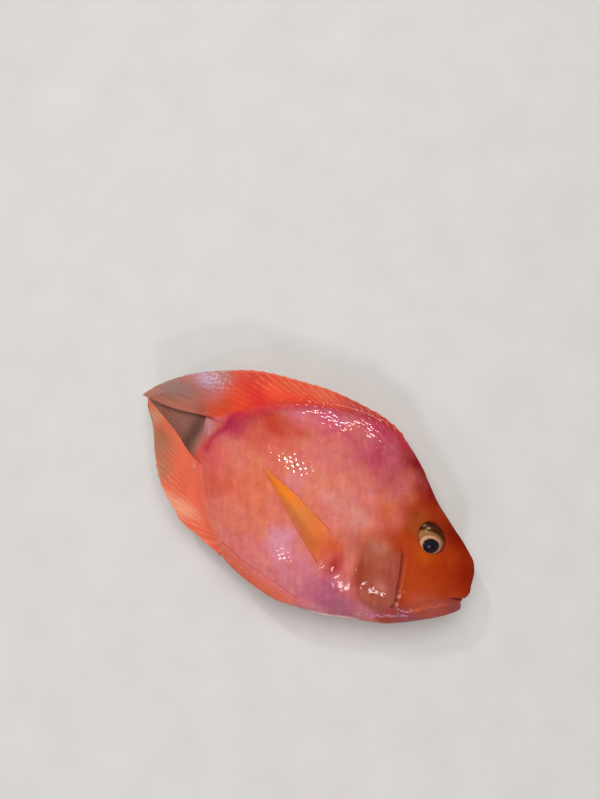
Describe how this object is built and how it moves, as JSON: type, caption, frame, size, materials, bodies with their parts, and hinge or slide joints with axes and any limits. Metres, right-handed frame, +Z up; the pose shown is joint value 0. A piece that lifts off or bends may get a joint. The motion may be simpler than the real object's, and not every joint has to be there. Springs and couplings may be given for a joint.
{
  "type": "blood parrot cichlid",
  "caption": "Life-size aquarium fish with a deep, short body, a blunt snout and a drooping mouth, lying on its left flank with all its fins folded back.",
  "frame": {"origin": "on the floor under the middle of the whole fish's box", "axes": "+X toward the snout, +Y toward the fish's back, +Z up, out of its right flank"},
  "size_m": [0.114, 0.0619, 0.0286],
  "materials": {
    "face": "wet, smooth orange-red skin",
    "gill_cover": "wet, rosy orange plate",
    "flank": "wet, scaled salmon-red skin",
    "eye": "clear, polished, over a cream ring and a black pupil",
    "orange_fin": "wet, ribbed orange membrane",
    "amber_fin": "wet, ribbed amber membrane",
    "clear_fin": "wet, ribbed, nearly clear membrane"
  },
  "bodies": {
    "root": {"head": "face", "lower_jaw": "face", "gill_cover_right": "gill_cover", "gill_cover_left": "gill_cover", "trunk": "flank", "tail_peduncle": "flank", "eye_right": "eye", "eye_left": "eye", "dorsal_fin": "orange_fin", "anal_fin": "orange_fin", "caudal_fin": "clear_fin", "pectoral_fin_right": "amber_fin", "pectoral_fin_left": "amber_fin", "pelvic_fin_right": "orange_fin", "pelvic_fin_left": "orange_fin"}
  },
  "joints": []
}
